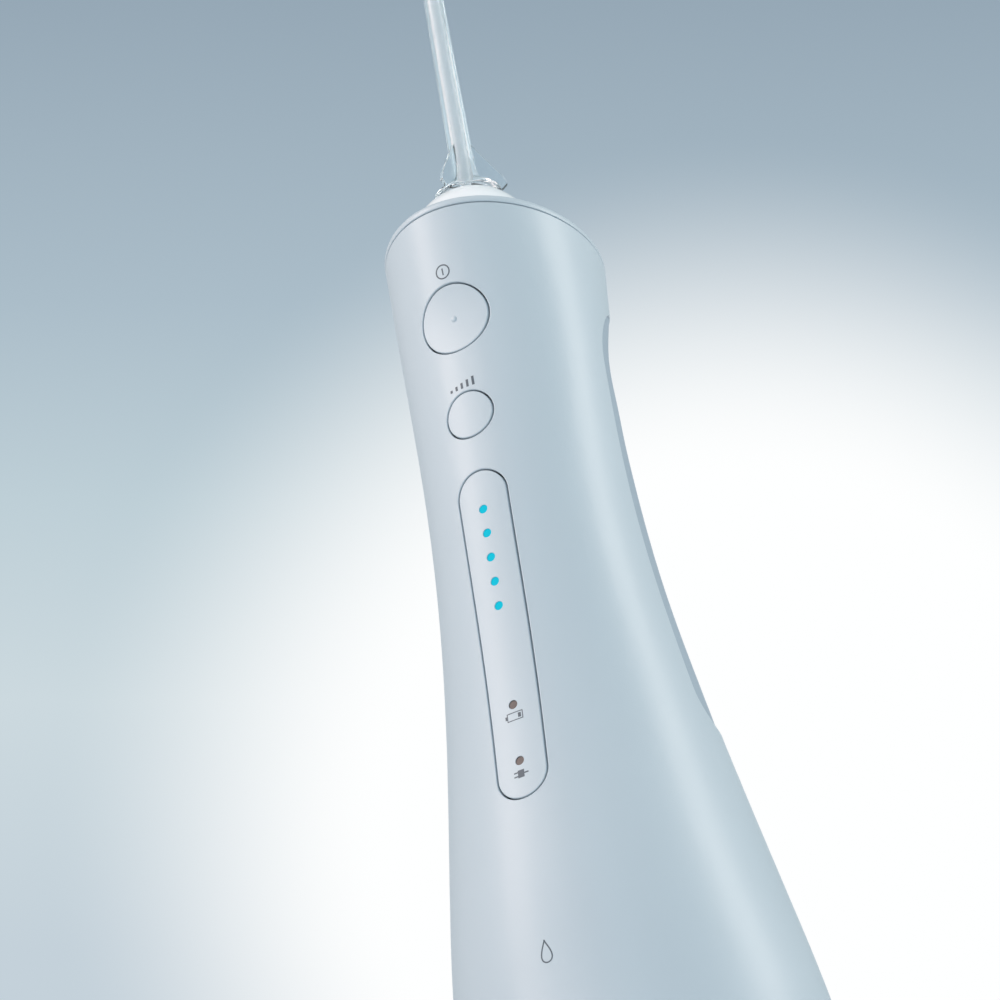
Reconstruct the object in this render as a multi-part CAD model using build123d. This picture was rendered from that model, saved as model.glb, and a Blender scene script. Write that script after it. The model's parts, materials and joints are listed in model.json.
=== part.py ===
"""Cordless water flosser, standing upright.

Frame: millimetres, +Z up, the button face looks along -Y, and the origin is the
centre of the base on the surface that the flosser stands on.
"""
import math
import os

from build123d import *

# ---------------------------------------------------------------- driving dimensions
# Outer skin: height, half width, half depth and centre of each oval section.
SKIN = [
    (0.0, 38.4, 41.2, 0.0),
    (30.0, 34.9, 37.3, -4.2),
    (60.0, 29.9, 32.1, -6.6),
    (90.0, 25.4, 27.8, -8.6),
    (120.0, 22.55, 25.45, -10.25),
    (150.0, 22.35, 23.9, -10.8),
    (180.0, 22.85, 27.15, -9.05),
    (196.0, 23.0, 29.4, -8.2),
]
WALL = 2.2                      # housing wall
FIT = 0.1                       # gap between parts of one body
GROOVE = 0.35                   # visible gap round buttons, panel and tank
EDGE = 0.2                      # rounding of the edges along those gaps
LIP_EDGE, FOOT_EDGE = 0.3, 0.5  # rounding of the grip opening and of the foot
AXIS_Y = -16.0                  # the nozzle, pump and piston share this upright axis

SEAM_Z, SEAM_SLOPE = 185.5, -0.124    # cap seam height on the x axis, and its slope along y
CAP_H, CAP_EDGE = 2.5, 1.6
DOME_R, DOME_Y, DOME_Z = 14.5, -17.4, 189.3    # ball-shaped dome under the nozzle
SLEEVE_R, STEM_R = 5.1, 3.0

POWER_Z, POWER_R, POWER_DISH = 164.7, 8.0, 0.75
LEVEL_Z, LEVEL_R = 141.0, 5.5
PANEL_BOTTOM, PANEL_TOP, PANEL_HALF = 50.95, 127.15, 5.75
LAMP_TOP, LAMP_PITCH, LAMP_COUNT, LAMP_R = 118.0, 5.68, 5, 0.95
BATTERY_LAMP_Z, CHARGE_LAMP_Z = 72.3, 59.4

GRIP_BOTTOM, GRIP_TOP = 68.5, 173.0
GRIP_FRONT_LOW, GRIP_FRONT_HIGH = -7.8, -11.1
GRIP_CORNER_LOW, GRIP_CORNER_HIGH = 8.0, 18.0
GRIP_PAD = 1.2
# Depth of the rear recess by height: shallow near the tank, deepest under the top lip.
GRIP_DEPTH = [
    (55.0, 0.45),
    (75.0, 0.45),
    (95.0, 0.45),
    (115.0, 0.45),
    (132.0, 0.55),
    (143.0, 0.75),
    (152.0, 1.05),
    (160.0, 1.3),
    (166.0, 0.95),
    (171.0, 0.4),
    (180.0, 0.3),
]

TANK_EDGE_Y, TANK_TILT = 26.0, 10.0   # tank parting line at the base, and its lean
TANK_TOP = 62.2
TANK_GAP, TANK_WALL = 0.8, 2.0
BAY_FRONT = -25.1               # back face of the dry compartment's wall
TANK_FRONT = BAY_FRONT + 0.6
FOOT_H = 1.0
LID_LOW, LID_HIGH, LID_HALF = 41.0, 56.0, 11.0
HINGE_Y, HINGE_Z = 28.6, 38.9

PUMP_R, BORE_R, ROD_R = 5.5, 3.5, 2.0
PUMP_LOW, PUMP_HIGH = 138.0, 164.0
CROWN_Z, CROWN_R, CROWN_TEETH, PINION_TEETH = 122.0, 10.0, 32, 8
CRANK_R, PIN_R = 2.5, 1.0
MOTOR_Y, MOTOR_R, MOTOR_LOW, MOTOR_HIGH = -7.7, 11.0, 78.0, 106.0
BOARD_Y, BOARD_T = -29.2, 1.6
CELL_R = 5.0
HOSE_X, HOSE_R = 16.0, 1.75
SCREWS = [(-11.0, 72.0), (11.0, 72.0), (-9.0, 158.0), (9.0, 158.0)]
SCREW_WALL = WALL + 2.0         # inside face of the rear cover


# ---------------------------------------------------------------- helpers
def block(x0, x1, y0, y1, z0, z1):
    """Axis-aligned box between two corners."""
    return Pos((x0 + x1) / 2, (y0 + y1) / 2, (z0 + z1) / 2) * Box(x1 - x0, y1 - y0, z1 - z0)


def rod(start, end, radius):
    """Round bar between two points."""
    start, end = Vector(*start), Vector(*end)
    run = end - start
    return Plane(origin=start, z_dir=run) * extrude(Circle(radius), run.length)


def ring(start, end, outer, inner):
    """Tube between two points."""
    return rod(start, end, outer) - rod(start, end, inner)


def station(z):
    """Half width, half depth and centre of the outer skin at a height, by straight interpolation."""
    for low, high in zip(SKIN, SKIN[1:]):
        if z <= high[0]:
            t = (z - low[0]) / (high[0] - low[0])
            return tuple(p + (q - p) * t for p, q in zip(low[1:], high[1:]))
    return SKIN[-1][1:]


def skin(inset=0.0):
    """Solid bounded by the outer skin moved inwards."""
    faces = [Pos(0, centre, z) * Ellipse(width - inset, depth - inset) for z, width, depth, centre in SKIN]
    return loft(faces)


def section_of(solid, z):
    """Half width, half depth and centre of a solid's level section, read from a thin slice of it."""
    box = (solid & block(-60, 60, -60, 60, z - 0.01, z + 0.01)).bounding_box()
    return box.max.X, (box.max.Y - box.min.Y) / 2, (box.max.Y + box.min.Y) / 2


def grip_skin(extra=0.0):
    """Solid bounded by the floor of the rear recess, moved inwards by extra."""
    faces = []
    for z, recess in GRIP_DEPTH:
        width, depth, centre = section_of(OUTER, z)
        step = recess + extra
        faces.append(Pos(0, centre, z) * Ellipse(width - step, depth - step))
    return loft(faces)


def side_region(points, grow=0.0):
    """Side-view outline (y, z, corner radius) pushed through the whole width."""
    with BuildSketch(Plane.YZ) as sketch:
        with BuildLine():
            Polyline(*[(y, z) for y, z, _ in points], close=True)
        make_face()
        for y, z, radius in points:
            if radius:
                corner = sketch.vertices().sort_by_distance(Vector(y, z, 0))[0]
                fillet(corner, radius)
    face = sketch.sketch
    if grow:
        face = offset(face, grow)
    return extrude(face, 60, both=True)


def grip_region(grow=0.0):
    """Side-view outline of the rear grip."""
    return side_region(
        [
            (GRIP_FRONT_LOW, GRIP_BOTTOM, GRIP_CORNER_LOW),
            (60, GRIP_BOTTOM, 0),
            (60, GRIP_TOP, 0),
            (GRIP_FRONT_HIGH, GRIP_TOP, GRIP_CORNER_HIGH),
        ],
        grow,
    )


def tank_region(gap=0.0):
    """Everything behind the tank's leaning parting line and under its top edge."""
    lean = math.tan(math.radians(TANK_TILT))
    low, high = -5.0, TANK_TOP - gap
    return side_region(
        [
            (TANK_EDGE_Y - lean * low + gap, low, 0),
            (70, low, 0),
            (70, high, 0),
            (TANK_EDGE_Y - lean * high + gap, high, 4.0),
        ]
    )


def seam_plane(rise=0.0):
    """Tilted plane of the cap seam, moved up by rise."""
    return Plane(origin=(0, 0, SEAM_Z + rise), z_dir=(0, -SEAM_SLOPE, 1))


def below_seam(rise=0.0):
    """Half space under the seam plane."""
    return seam_plane(rise) * Pos(0, 0, -150) * Box(200, 200, 300)


def above_seam(rise=0.0):
    """Half space over the seam plane."""
    return seam_plane(rise) * Pos(0, 0, 50) * Box(200, 200, 100)


def button_bar(z, radius):
    """Cylinder along y through the front wall."""
    return rod((0, -50, z), (0, -26, z), radius)


def panel_bar(shrink):
    """Round-ended bar along y through the front wall, for the lamp panel."""
    height = PANEL_TOP - PANEL_BOTTOM - 2 * shrink
    outline = SlotOverall(height, 2 * (PANEL_HALF - shrink), rotation=90)
    plane = Plane(origin=(0, -50, (PANEL_TOP + PANEL_BOTTOM) / 2), x_dir=(1, 0, 0), z_dir=(0, 1, 0))
    return plane * extrude(outline, 24)


def lamp_heights():
    """Heights of the water level lamps."""
    return [LAMP_TOP - LAMP_PITCH * i for i in range(LAMP_COUNT)]


def slide_step(distance):
    """Offset along the tank's sliding direction."""
    lean = math.radians(TANK_TILT)
    return (0, distance * math.sin(lean), -distance * math.cos(lean))


def shifted(point, step):
    """Point moved by a step."""
    return tuple(p + s for p, s in zip(point, step))


def skin_front(z):
    """Where the front of the outer skin lies on y at a height."""
    _, depth, centre = section_of(OUTER, z)
    return centre - depth


def rounded(solid, keep, radius, rise=0.0, slack=0.02):
    """Solid with its kept edges rounded, among those that lie on the skin or a rise above it."""
    edges = []
    for edge in solid.edges():
        middle = edge.position_at(0.5)
        gap = SKIN_FACE.distance_to(Vertex(middle.X, middle.Y, middle.Z))
        if keep(middle) and abs(gap - rise) < slack:
            edges.append(edge)
    return fillet(edges, radius)


OUTER = skin()
INNER = skin(WALL)
SKIN_FACE = OUTER.faces().sort_by(SortBy.AREA)[-1]
PARTS = {}


# ---------------------------------------------------------------- casing
def make_housing():
    """One-piece front and side shell with a rear opening and a tank opening."""
    shell = (OUTER - INNER) & below_seam() & block(-60, 60, -60, 60, FOOT_H, 220)
    shell -= grip_region()
    shell -= tank_region()
    shell -= button_bar(POWER_Z, POWER_R + GROOVE / 2)
    shell -= button_bar(LEVEL_Z, LEVEL_R + GROOVE / 2)
    shell -= panel_bar(-GROOVE / 2)
    shell = rounded(shell, lambda m: m.Y < -25 and 49 < m.Z < 176, EDGE)
    shell = rounded(shell, lambda m: m.Y > -14 and 66 < m.Z < 174.5, LIP_EDGE)
    shell = rounded(shell, lambda m: m.Z > 182.5, EDGE)
    shell = rounded(shell, lambda m: m.Y > 14 and FOOT_H + 0.5 < m.Z < 63, EDGE)
    shell = rounded(shell, lambda m: m.Z < FOOT_H + 0.05, FOOT_EDGE)
    return shell - release_bar(0.2)


def release_bar(grow):
    """Rounded bar along y through the rear wall above the grip."""
    outline = RectangleRounded(12 + 2 * grow, 5.6 + 2 * grow, 1.8 + grow)
    plane = Plane(origin=(0, 6, 178.4), x_dir=(1, 0, 0), z_dir=(0, 1, 0))
    return plane * extrude(outline, 20)


def make_rear_cover():
    """Stiff panel that closes the rear opening, behind the soft grip."""
    cover = (grip_skin(GRIP_PAD) - skin(SCREW_WALL)) & grip_region(-0.15)
    for x, z in SCREWS:
        cover -= rod((x, -10, z), (x, 40, z), 1.6)
    return cover


def make_grip_pad():
    """Soft pad that sits a little below the housing's surface."""
    return (grip_skin() - grip_skin(GRIP_PAD)) & grip_region(-0.15)


def make_cap():
    """Flat cap over the tilted seam, with a round hole for the dome and a short inner lip."""
    plate = OUTER & above_seam(0.25) & below_seam(CAP_H)
    plate = fillet(plate.faces().sort_by(Axis.Z)[-1].edges(), CAP_EDGE)
    plate = fillet(plate.faces().sort_by(Axis.Z)[0].edges(), EDGE)
    lip = (skin(WALL + FIT) - skin(WALL + 1.6)) & below_seam(0.3) & above_seam(-1.9)
    cap = plate + lip
    return cap - Pos(0, DOME_Y, DOME_Z) * Sphere(DOME_R + 0.12)


def make_dome():
    """White ball-shaped dome that holds the nozzle sleeve, with a flange under the cap."""
    centre = Pos(0, DOME_Y, DOME_Z)
    hollow = centre * Sphere(DOME_R) - centre * Sphere(DOME_R - 2.2)
    seam_here = SEAM_Z + SEAM_SLOPE * DOME_Y
    plane = Plane(origin=(0, DOME_Y, seam_here - 1.1), z_dir=(0, -SEAM_SLOPE, 1))
    flange = plane * extrude(Circle(DOME_R + 1.0) - Circle(DOME_R - 1.0), 1.2)
    dome = (hollow & above_seam(-1.1)) + flange
    neck = ring((0, AXIS_Y, 194), (0, AXIS_Y, 202.6), SLEEVE_R + 1.6, SLEEVE_R)
    dome = dome + neck
    return dome - rod((0, AXIS_Y, 180), (0, AXIS_Y, 210), SLEEVE_R + 0.06)


def make_panel():
    """Round-ended lamp panel, flush with the front."""
    panel = (skin(0.06) - skin(WALL - 0.2)) & panel_bar(GROOVE / 2)
    for z in lamp_heights() + [BATTERY_LAMP_Z, CHARGE_LAMP_Z]:
        panel -= button_bar(z, LAMP_R + 0.05)
    ends = PANEL_BOTTOM + 3, PANEL_TOP - 3
    return rounded(panel, lambda m: abs(m.X) > 1.2 or not ends[0] < m.Z < ends[1], EDGE, slack=0.1)


def make_lens(z):
    """Round light guide from the panel's face towards the board."""
    return skin(0.25) & rod((0, -50, z), (0, BOARD_Y - 1.6, z), LAMP_R)


def hollow_bar(z, radius, dish):
    """Turned solid that meets the skin round a rim and falls a dish below it in the middle."""
    width, depth, _ = section_of(OUTER, z)
    waist = 1 / (depth / width ** 2 - 2 * dish / radius ** 2)
    curve = radius ** 2 / (2 * dish)
    reach = radius + 2
    half = waist + curve - math.sqrt(curve ** 2 - reach ** 2)
    with BuildSketch(Plane.YZ) as profile:
        with BuildLine():
            ThreePointArc((-half, -reach), (-waist, 0), (-half, reach))
            Polyline((-half, reach), (0, reach), (0, -reach), (-half, -reach))
        make_face()
    spool = revolve(profile.sketch, Axis.Z)
    lean = math.degrees(math.atan((skin_front(z + 4) - skin_front(z - 4)) / 8))
    return Pos(0, skin_front(z) + dish, z) * Rot(-lean, 0, 0) * Pos(0, waist, 0) * spool


def make_button(front_solid, z, radius):
    """Push button cut from a solid that gives its front face."""
    button = (front_solid - skin(WALL + 0.2)) & button_bar(z, radius - GROOVE / 2)
    rim = []
    for edge in button.edges():
        box = edge.bounding_box()
        if box.min.Y < skin_front(z) + 1.0 and box.size.Z > radius / 2:
            rim.append(edge)
    return fillet(rim, EDGE)


def make_power_button():
    """Button with a hollow face and a raised dot in the middle."""
    button = make_button(hollow_bar(POWER_Z, POWER_R - GROOVE / 2, POWER_DISH), POWER_Z, POWER_R)
    dot_r, sunk = 0.95, 0.6
    return button + Pos(0, skin_front(POWER_Z) + POWER_DISH + sunk, POWER_Z) * Sphere(dot_r)


def make_membrane():
    """Rubber sheet that seals the buttons, with a pip over each switch."""
    sheet = (skin(3.4) - skin(4.0)) & block(-10, 10, -45, -24, 131, 176)
    for z in (POWER_Z, LEVEL_Z):
        sheet += skin(3.9) & rod((0, -36, z), (0, BOARD_Y - 1.75, z), 1.8)
    return sheet


# ---------------------------------------------------------------- front compartment
def make_board():
    """Circuit board behind the buttons and lamps."""
    back = BOARD_Y + BOARD_T
    return block(-10, 10, BOARD_Y, back, 53, 128) + block(-6, 6, BOARD_Y, back, 127, 174)


def make_leds():
    """Light sources soldered behind each light guide."""
    heights = lamp_heights() + [BATTERY_LAMP_Z, CHARGE_LAMP_Z]
    return Compound([block(-1, 1, BOARD_Y - 1.2, BOARD_Y, z - 0.6, z + 0.6) for z in heights])


def make_switches():
    """Two low switches under the buttons."""
    switches = []
    for z in (POWER_Z, LEVEL_Z):
        body = block(-2.6, 2.6, BOARD_Y - 1.2, BOARD_Y, z - 2.6, z + 2.6)
        switches.append(body + rod((0, BOARD_Y - 1.5, z), (0, BOARD_Y - 1.1, z), 1.4))
    return Compound(switches)


def make_chips():
    """Processor and power parts on the back of the board."""
    back = BOARD_Y + BOARD_T
    chips = [(-4, 100, 3.5, 3.5), (4, 112, 2.5, 2.0), (-3, 84, 3.0, 2.0), (4, 90, 1.5, 2.5)]
    return Compound([block(x - w, x + w, back, back + 0.8, z - h, z + h) for x, z, w, h in chips])


def cell_centres():
    """Places of the two rechargeable cells."""
    return [(-5.5, -31.7), (5.5, -31.7)]


def make_cells():
    """Two upright cells in the dry compartment."""
    cells = []
    for x, y in cell_centres():
        cells.append(rod((x, y, 7), (x, y, 50), CELL_R) + rod((x, y, 50), (x, y, 50.8), 1.6))
    return Compound(cells)


def make_tabs():
    """Welded strips that join the cells and rise to the board."""
    (left, y), (right, _) = cell_centres()
    thick, face = 0.3, BOARD_Y - 0.05
    strips = [block(left - 2, right + 2, y - 2, y + 2, 7.0 - thick, 7.0)]
    for x in (left, right):
        foot = block(x - 2, x + 2, y - 2, face, 50.8, 50.8 + thick)
        strips.append(foot + block(x - 2, x + 2, face - thick, face, 50.8, 54))
    return Compound(strips)


def make_coil():
    """Flat oval winding of the charging pickup, in the foot of the dry compartment."""
    plane = Plane(origin=(0, -32.6, 3.6))
    return plane * extrude(SlotOverall(26, 9) - SlotOverall(20, 3.4), 2.2)


def make_coil_core():
    """Ferrite bar in the middle of the winding."""
    plane = Plane(origin=(0, -32.6, 3.6))
    return plane * extrude(SlotOverall(19.4, 2.8), 2.6)


def make_base_cover():
    """Crescent plate that closes the dry compartment from below."""
    return skin(WALL + FIT) & block(-60, 60, -60, BAY_FRONT, FOOT_H, 3.4)


def make_front_foot():
    """Rubber strip under the base cover."""
    return skin(WALL + 2.0) & block(-24, 24, -60, BAY_FRONT - 1.2, 0, FOOT_H)


# ---------------------------------------------------------------- chassis
def make_chassis():
    """Inner frame: wall of the dry compartment, tank bay roof, spine and machine brackets."""
    inside = skin(WALL + FIT)
    wall = inside & block(-60, 60, BAY_FRONT - 1.5, BAY_FRONT, 3.6, 64.6)
    roof = inside & block(-60, 60, BAY_FRONT - 1.5, 60, TANK_TOP + 0.4, 64.6)
    spine = block(-9.5, 9.5, BAY_FRONT - 1.5, BAY_FRONT, 64, 176)
    frame = wall + roof + spine
    clamp = ring((0, MOTOR_Y, 86), (0, MOTOR_Y, 93), MOTOR_R + 1.6, MOTOR_R + 0.03)
    frame += clamp + block(-4, 4, BAY_FRONT - 0.5, MOTOR_Y - MOTOR_R - 0.8, 86, 93)
    for x in (-13.4, 12.0):
        frame += block(x, x + 1.4, BAY_FRONT - 1.5, -1.0, 119, 134)
    frame += block(-13.4, 13.4, -3.0, -1.0, 119, 134)
    frame += block(-13.4, 13.4, BAY_FRONT - 1.5, BAY_FRONT, 119, 134)
    frame += rod((0, -4.6, CROWN_Z), (0, -1, CROWN_Z), 3.0)
    collar = ring((0, AXIS_Y, 148), (0, AXIS_Y, 154), PUMP_R + 1.6, PUMP_R + 0.03)
    frame += collar + block(-4, 4, BAY_FRONT - 0.5, AXIS_Y - PUMP_R - 0.8, 148, 154)
    for x in (-8.7, 7.2):
        frame += block(x, x + 1.5, BAY_FRONT - 1.5, 0.6, 174, 176)
    frame += block(-8.7, 8.7, -0.9, 0.6, 174, 179.2)
    for x, z in SCREWS:
        near = screw_back(x, z) - 1.2
        post = rod((x, BAY_FRONT - 0.5, z), (x, near, z), 2.6) & skin(SCREW_WALL + FIT)
        frame += post - rod((x, near - 9, z), (x, near + 1, z), 1.0)
    frame -= block(-6, 6, BAY_FRONT - 2, BAY_FRONT + 0.5, 67, 74)
    frame -= rod((0, -6, CROWN_Z), (0, 0, CROWN_Z), 1.5)
    frame -= rod((HOSE_X, AXIS_Y, 60), (HOSE_X, AXIS_Y, 70), HOSE_R + 0.5)
    return frame


def screw_back(x, z):
    """Inside face of the rear cover at a screw."""
    width, depth, centre = station(z)
    return centre + (depth - SCREW_WALL) * math.sqrt(1 - (x / (width - SCREW_WALL)) ** 2)


def make_screws():
    """Four self-tapping screws that hold the rear cover, under the grip."""
    screws = []
    for x, z in SCREWS:
        near = screw_back(x, z)
        shank = rod((x, near - 9, z), (x, near - 0.6, z), 0.95)
        screws.append(shank + rod((x, near - 0.9, z), (x, near + 0.1, z), 1.5))
    return Compound(screws)


# ---------------------------------------------------------------- drive
def make_motor_can():
    """Steel can with a bearing hole at each end."""
    can = rod((0, MOTOR_Y, MOTOR_LOW + 2), (0, MOTOR_Y, MOTOR_HIGH), MOTOR_R)
    can += rod((0, MOTOR_Y, MOTOR_HIGH), (0, MOTOR_Y, MOTOR_HIGH + 1.5), 3.0)
    can -= rod((0, MOTOR_Y, MOTOR_LOW + 1), (0, MOTOR_Y, MOTOR_HIGH - 1.2), MOTOR_R - 1.0)
    return can - rod((0, MOTOR_Y, MOTOR_LOW), (0, MOTOR_Y, MOTOR_HIGH + 5), 1.05)


def make_motor_end():
    """Plastic end with two terminals."""
    end = rod((0, MOTOR_Y, MOTOR_LOW), (0, MOTOR_Y, MOTOR_LOW + 2), MOTOR_R)
    end -= rod((0, MOTOR_Y, MOTOR_LOW - 1), (0, MOTOR_Y, MOTOR_LOW + 3), 1.05)
    for x in (-5, 5):
        end += block(x - 0.3, x + 0.3, MOTOR_Y - 1, MOTOR_Y + 1, MOTOR_LOW - 3, MOTOR_LOW)
    return end


def make_magnets():
    """Two curved magnets inside the can."""
    sleeve = ring((0, MOTOR_Y, 84), (0, MOTOR_Y, 100), MOTOR_R - 1.06, MOTOR_R - 2.6)
    halves = [sleeve & block(2, 20, -40, 20, 80, 110), sleeve & block(-20, -2, -40, 20, 80, 110)]
    return Compound(halves)


def make_rotor():
    """Wound core on its shaft."""
    radius = 7.6
    core = rod((0, MOTOR_Y, 84), (0, MOTOR_Y, 100), radius)
    for turn in (0, 120, 240):
        x = radius * math.cos(math.radians(turn))
        y = MOTOR_Y + radius * math.sin(math.radians(turn))
        core -= rod((x, y, 83), (x, y, 101), 1.2)
    return core + rod((0, MOTOR_Y, MOTOR_LOW + 0.5), (0, MOTOR_Y, 115.5), 1.0)


def make_pinion():
    """Eight-tooth pinion on the motor shaft, one tooth pointing at the crown gear."""
    low, high = CROWN_Z - 9.6, CROWN_Z - 7.8
    gear = rod((0, MOTOR_Y, low), (0, MOTOR_Y, high), 1.4)
    for i in range(PINION_TEETH):
        tooth = Polygon((-0.33, 1.2), (0.33, 1.2), (0.2, 2.5), (-0.2, 2.5), align=None)
        turn = Rot(0, 0, 180 + 360 / PINION_TEETH * i)
        gear += Plane(origin=(0, MOTOR_Y, low)) * turn * extrude(tooth, high - low)
    return gear - rod((0, MOTOR_Y, low - 1), (0, MOTOR_Y, high + 1), 1.0)


def make_crown():
    """Crown gear on a cross axle; its teeth face backwards, over the pinion."""
    front, back, tips = -13.0, -10.5, -9.35
    gear = rod((0, front, CROWN_Z), (0, back, CROWN_Z), CROWN_R)
    gear += rod((0, front, CROWN_Z), (0, -4.9, CROWN_Z), 3.0)
    half = math.tan(math.radians(360 / CROWN_TEETH) * 0.22)
    inner, outer = 7.6, 9.8
    for i in range(CROWN_TEETH):
        turn = 360 / CROWN_TEETH * (i + 0.5)
        wedge = Polygon(
            (-inner * half, inner), (-outer * half, outer),
            (outer * half, outer), (inner * half, inner), align=None)
        plane = Plane(origin=(0, back, CROWN_Z), x_dir=(-1, 0, 0), z_dir=(0, 1, 0))
        gear += plane * Rot(0, 0, turn) * extrude(wedge, tips - back)
    gear -= rod((0, -20, CROWN_Z), (0, 0, CROWN_Z), 1.55)
    return gear - rod((CRANK_R, -14, CROWN_Z), (CRANK_R, -11.2, CROWN_Z), PIN_R)


def make_axle():
    """Steel axle pressed into the chassis behind the crown gear."""
    return rod((0, -12.6, CROWN_Z), (0, -1.0, CROWN_Z), 1.5)


def make_crank_pin():
    """Eccentric pin in the crown gear's face."""
    return rod((CRANK_R, -17.6, CROWN_Z), (CRANK_R, -11.2, CROWN_Z), PIN_R)


def make_piston():
    """Yoke, rod and piston head in one piece; the window clears the crank pin at any stroke."""
    wide = CRANK_R + PIN_R + 0.2
    high = wide + CRANK_R
    rim = 1.8
    side, end = wide + rim, high + rim
    frame = block(-side, side, AXIS_Y - 1.5, AXIS_Y + 1.5, CROWN_Z - end, CROWN_Z + end)
    frame -= block(-wide, wide, AXIS_Y - 3, AXIS_Y + 3, CROWN_Z - high, CROWN_Z + high)
    stem = rod((0, AXIS_Y, CROWN_Z + high + rim - 0.5), (0, AXIS_Y, 150), ROD_R)
    head = rod((0, AXIS_Y, 149), (0, AXIS_Y, 156), BORE_R - 0.06)
    groove = ring((0, AXIS_Y, 151.6), (0, AXIS_Y, 153.4), BORE_R + 1, BORE_R - 0.9)
    return frame + stem + head - groove


def make_piston_seal():
    """Rubber ring in the piston's groove."""
    return ring((0, AXIS_Y, 151.6), (0, AXIS_Y, 153.4), BORE_R - 0.04, BORE_R - 0.9)


def make_cylinder():
    """Pump barrel, open below for the piston rod."""
    return ring((0, AXIS_Y, PUMP_LOW), (0, AXIS_Y, PUMP_HIGH), PUMP_R, BORE_R)


def make_pump_head():
    """Valve block on top of the barrel, with its inlet on the right and outlet on top."""
    head = rod((0, AXIS_Y, PUMP_HIGH), (0, AXIS_Y, 173), 7.0)
    head += rod((0, AXIS_Y, 168), (11.0, AXIS_Y, 168), 2.9)
    head -= rod((0, AXIS_Y, PUMP_HIGH - 1), (0, AXIS_Y, 171), 2.6)
    head -= rod((0, AXIS_Y, 170), (0, AXIS_Y, 174), 1.2)
    return head - rod((0, AXIS_Y, 168), (12, AXIS_Y, 168), 1.1)


def make_valve_ball():
    """Outlet check ball."""
    return Pos(0, AXIS_Y, 166.2) * Sphere(1.6)


def make_valve_spring():
    """Light spring on the check ball."""
    wire = Helix(pitch=0.85, height=2.2, radius=1.5)
    start = Plane(origin=wire @ 0, z_dir=wire % 0)
    coil = sweep(start * Circle(0.22), path=wire, is_frenet=True)
    return Pos(0, AXIS_Y, 168.2) * coil


def make_outlet_tube():
    """Upright pipe from the valve block into the nozzle sleeve."""
    pipe = rod((0, AXIS_Y, 173), (0, AXIS_Y, 183), 2.0) + rod((0, AXIS_Y, 173), (0, AXIS_Y, 174.5), 4.0)
    return pipe - rod((0, AXIS_Y, 172), (0, AXIS_Y, 184), 1.0)


def make_inlet_tube():
    """Hose from the tank port up to the valve block."""
    with BuildLine() as route:
        FilletPolyline((HOSE_X, AXIS_Y, 66), (HOSE_X, AXIS_Y, 168), (11.0, AXIS_Y, 168), radius=4.5)
    start = Plane(origin=(HOSE_X, AXIS_Y, 66), z_dir=(0, 0, 1))
    return sweep(start * (Circle(HOSE_R) - Circle(1.0)), path=route.wire())


def make_suction_port():
    """Spigot through the bay roof that plugs into the tank."""
    top = (HOSE_X, AXIS_Y, 64.0)
    end = shifted(top, slide_step(6.6))
    port = rod((HOSE_X, AXIS_Y, 61.6), (HOSE_X, AXIS_Y, 66), HOSE_R) + rod(top, end, HOSE_R)
    port += rod((HOSE_X, AXIS_Y, 64.6), (HOSE_X, AXIS_Y, 65.6), 3.4)
    port -= rod((HOSE_X, AXIS_Y, 63.8), (HOSE_X, AXIS_Y, 67), 0.9)
    return port - rod(top, shifted(top, slide_step(8)), 0.9)


def make_motor_leads():
    """Two insulated wires from the motor through the spine to the board."""
    leads = []
    low = 70.5
    for x in (-5, 5):
        with BuildLine() as route:
            FilletPolyline((x, MOTOR_Y, 75.0), (x, MOTOR_Y, low), (x, BOARD_Y + BOARD_T, low), radius=3)
        start = Plane(origin=(x, MOTOR_Y, 75.0), z_dir=(0, 0, -1))
        leads.append(sweep(start * Circle(0.6), path=route.wire()))
    return Compound(leads)


# ---------------------------------------------------------------- nozzle and release
def make_sleeve():
    """Turning sleeve in the dome, with a latch groove near its foot."""
    sleeve = rod((0, AXIS_Y, 177.5), (0, AXIS_Y, 203.1), SLEEVE_R)
    sleeve += rod((0, AXIS_Y, 190.0), (0, AXIS_Y, 193.6), SLEEVE_R + 1.4)
    sleeve -= ring((0, AXIS_Y, 178.4), (0, AXIS_Y, 181.8), SLEEVE_R + 1, 4.2)
    return sleeve - rod((0, AXIS_Y, 177), (0, AXIS_Y, 204), STEM_R + 0.05)


def make_swivel_ring():
    """Rubber ring between the pipe and the turning sleeve."""
    return ring((0, AXIS_Y, 178.0), (0, AXIS_Y, 180.0), STEM_R + 0.05, 2.06)


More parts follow.
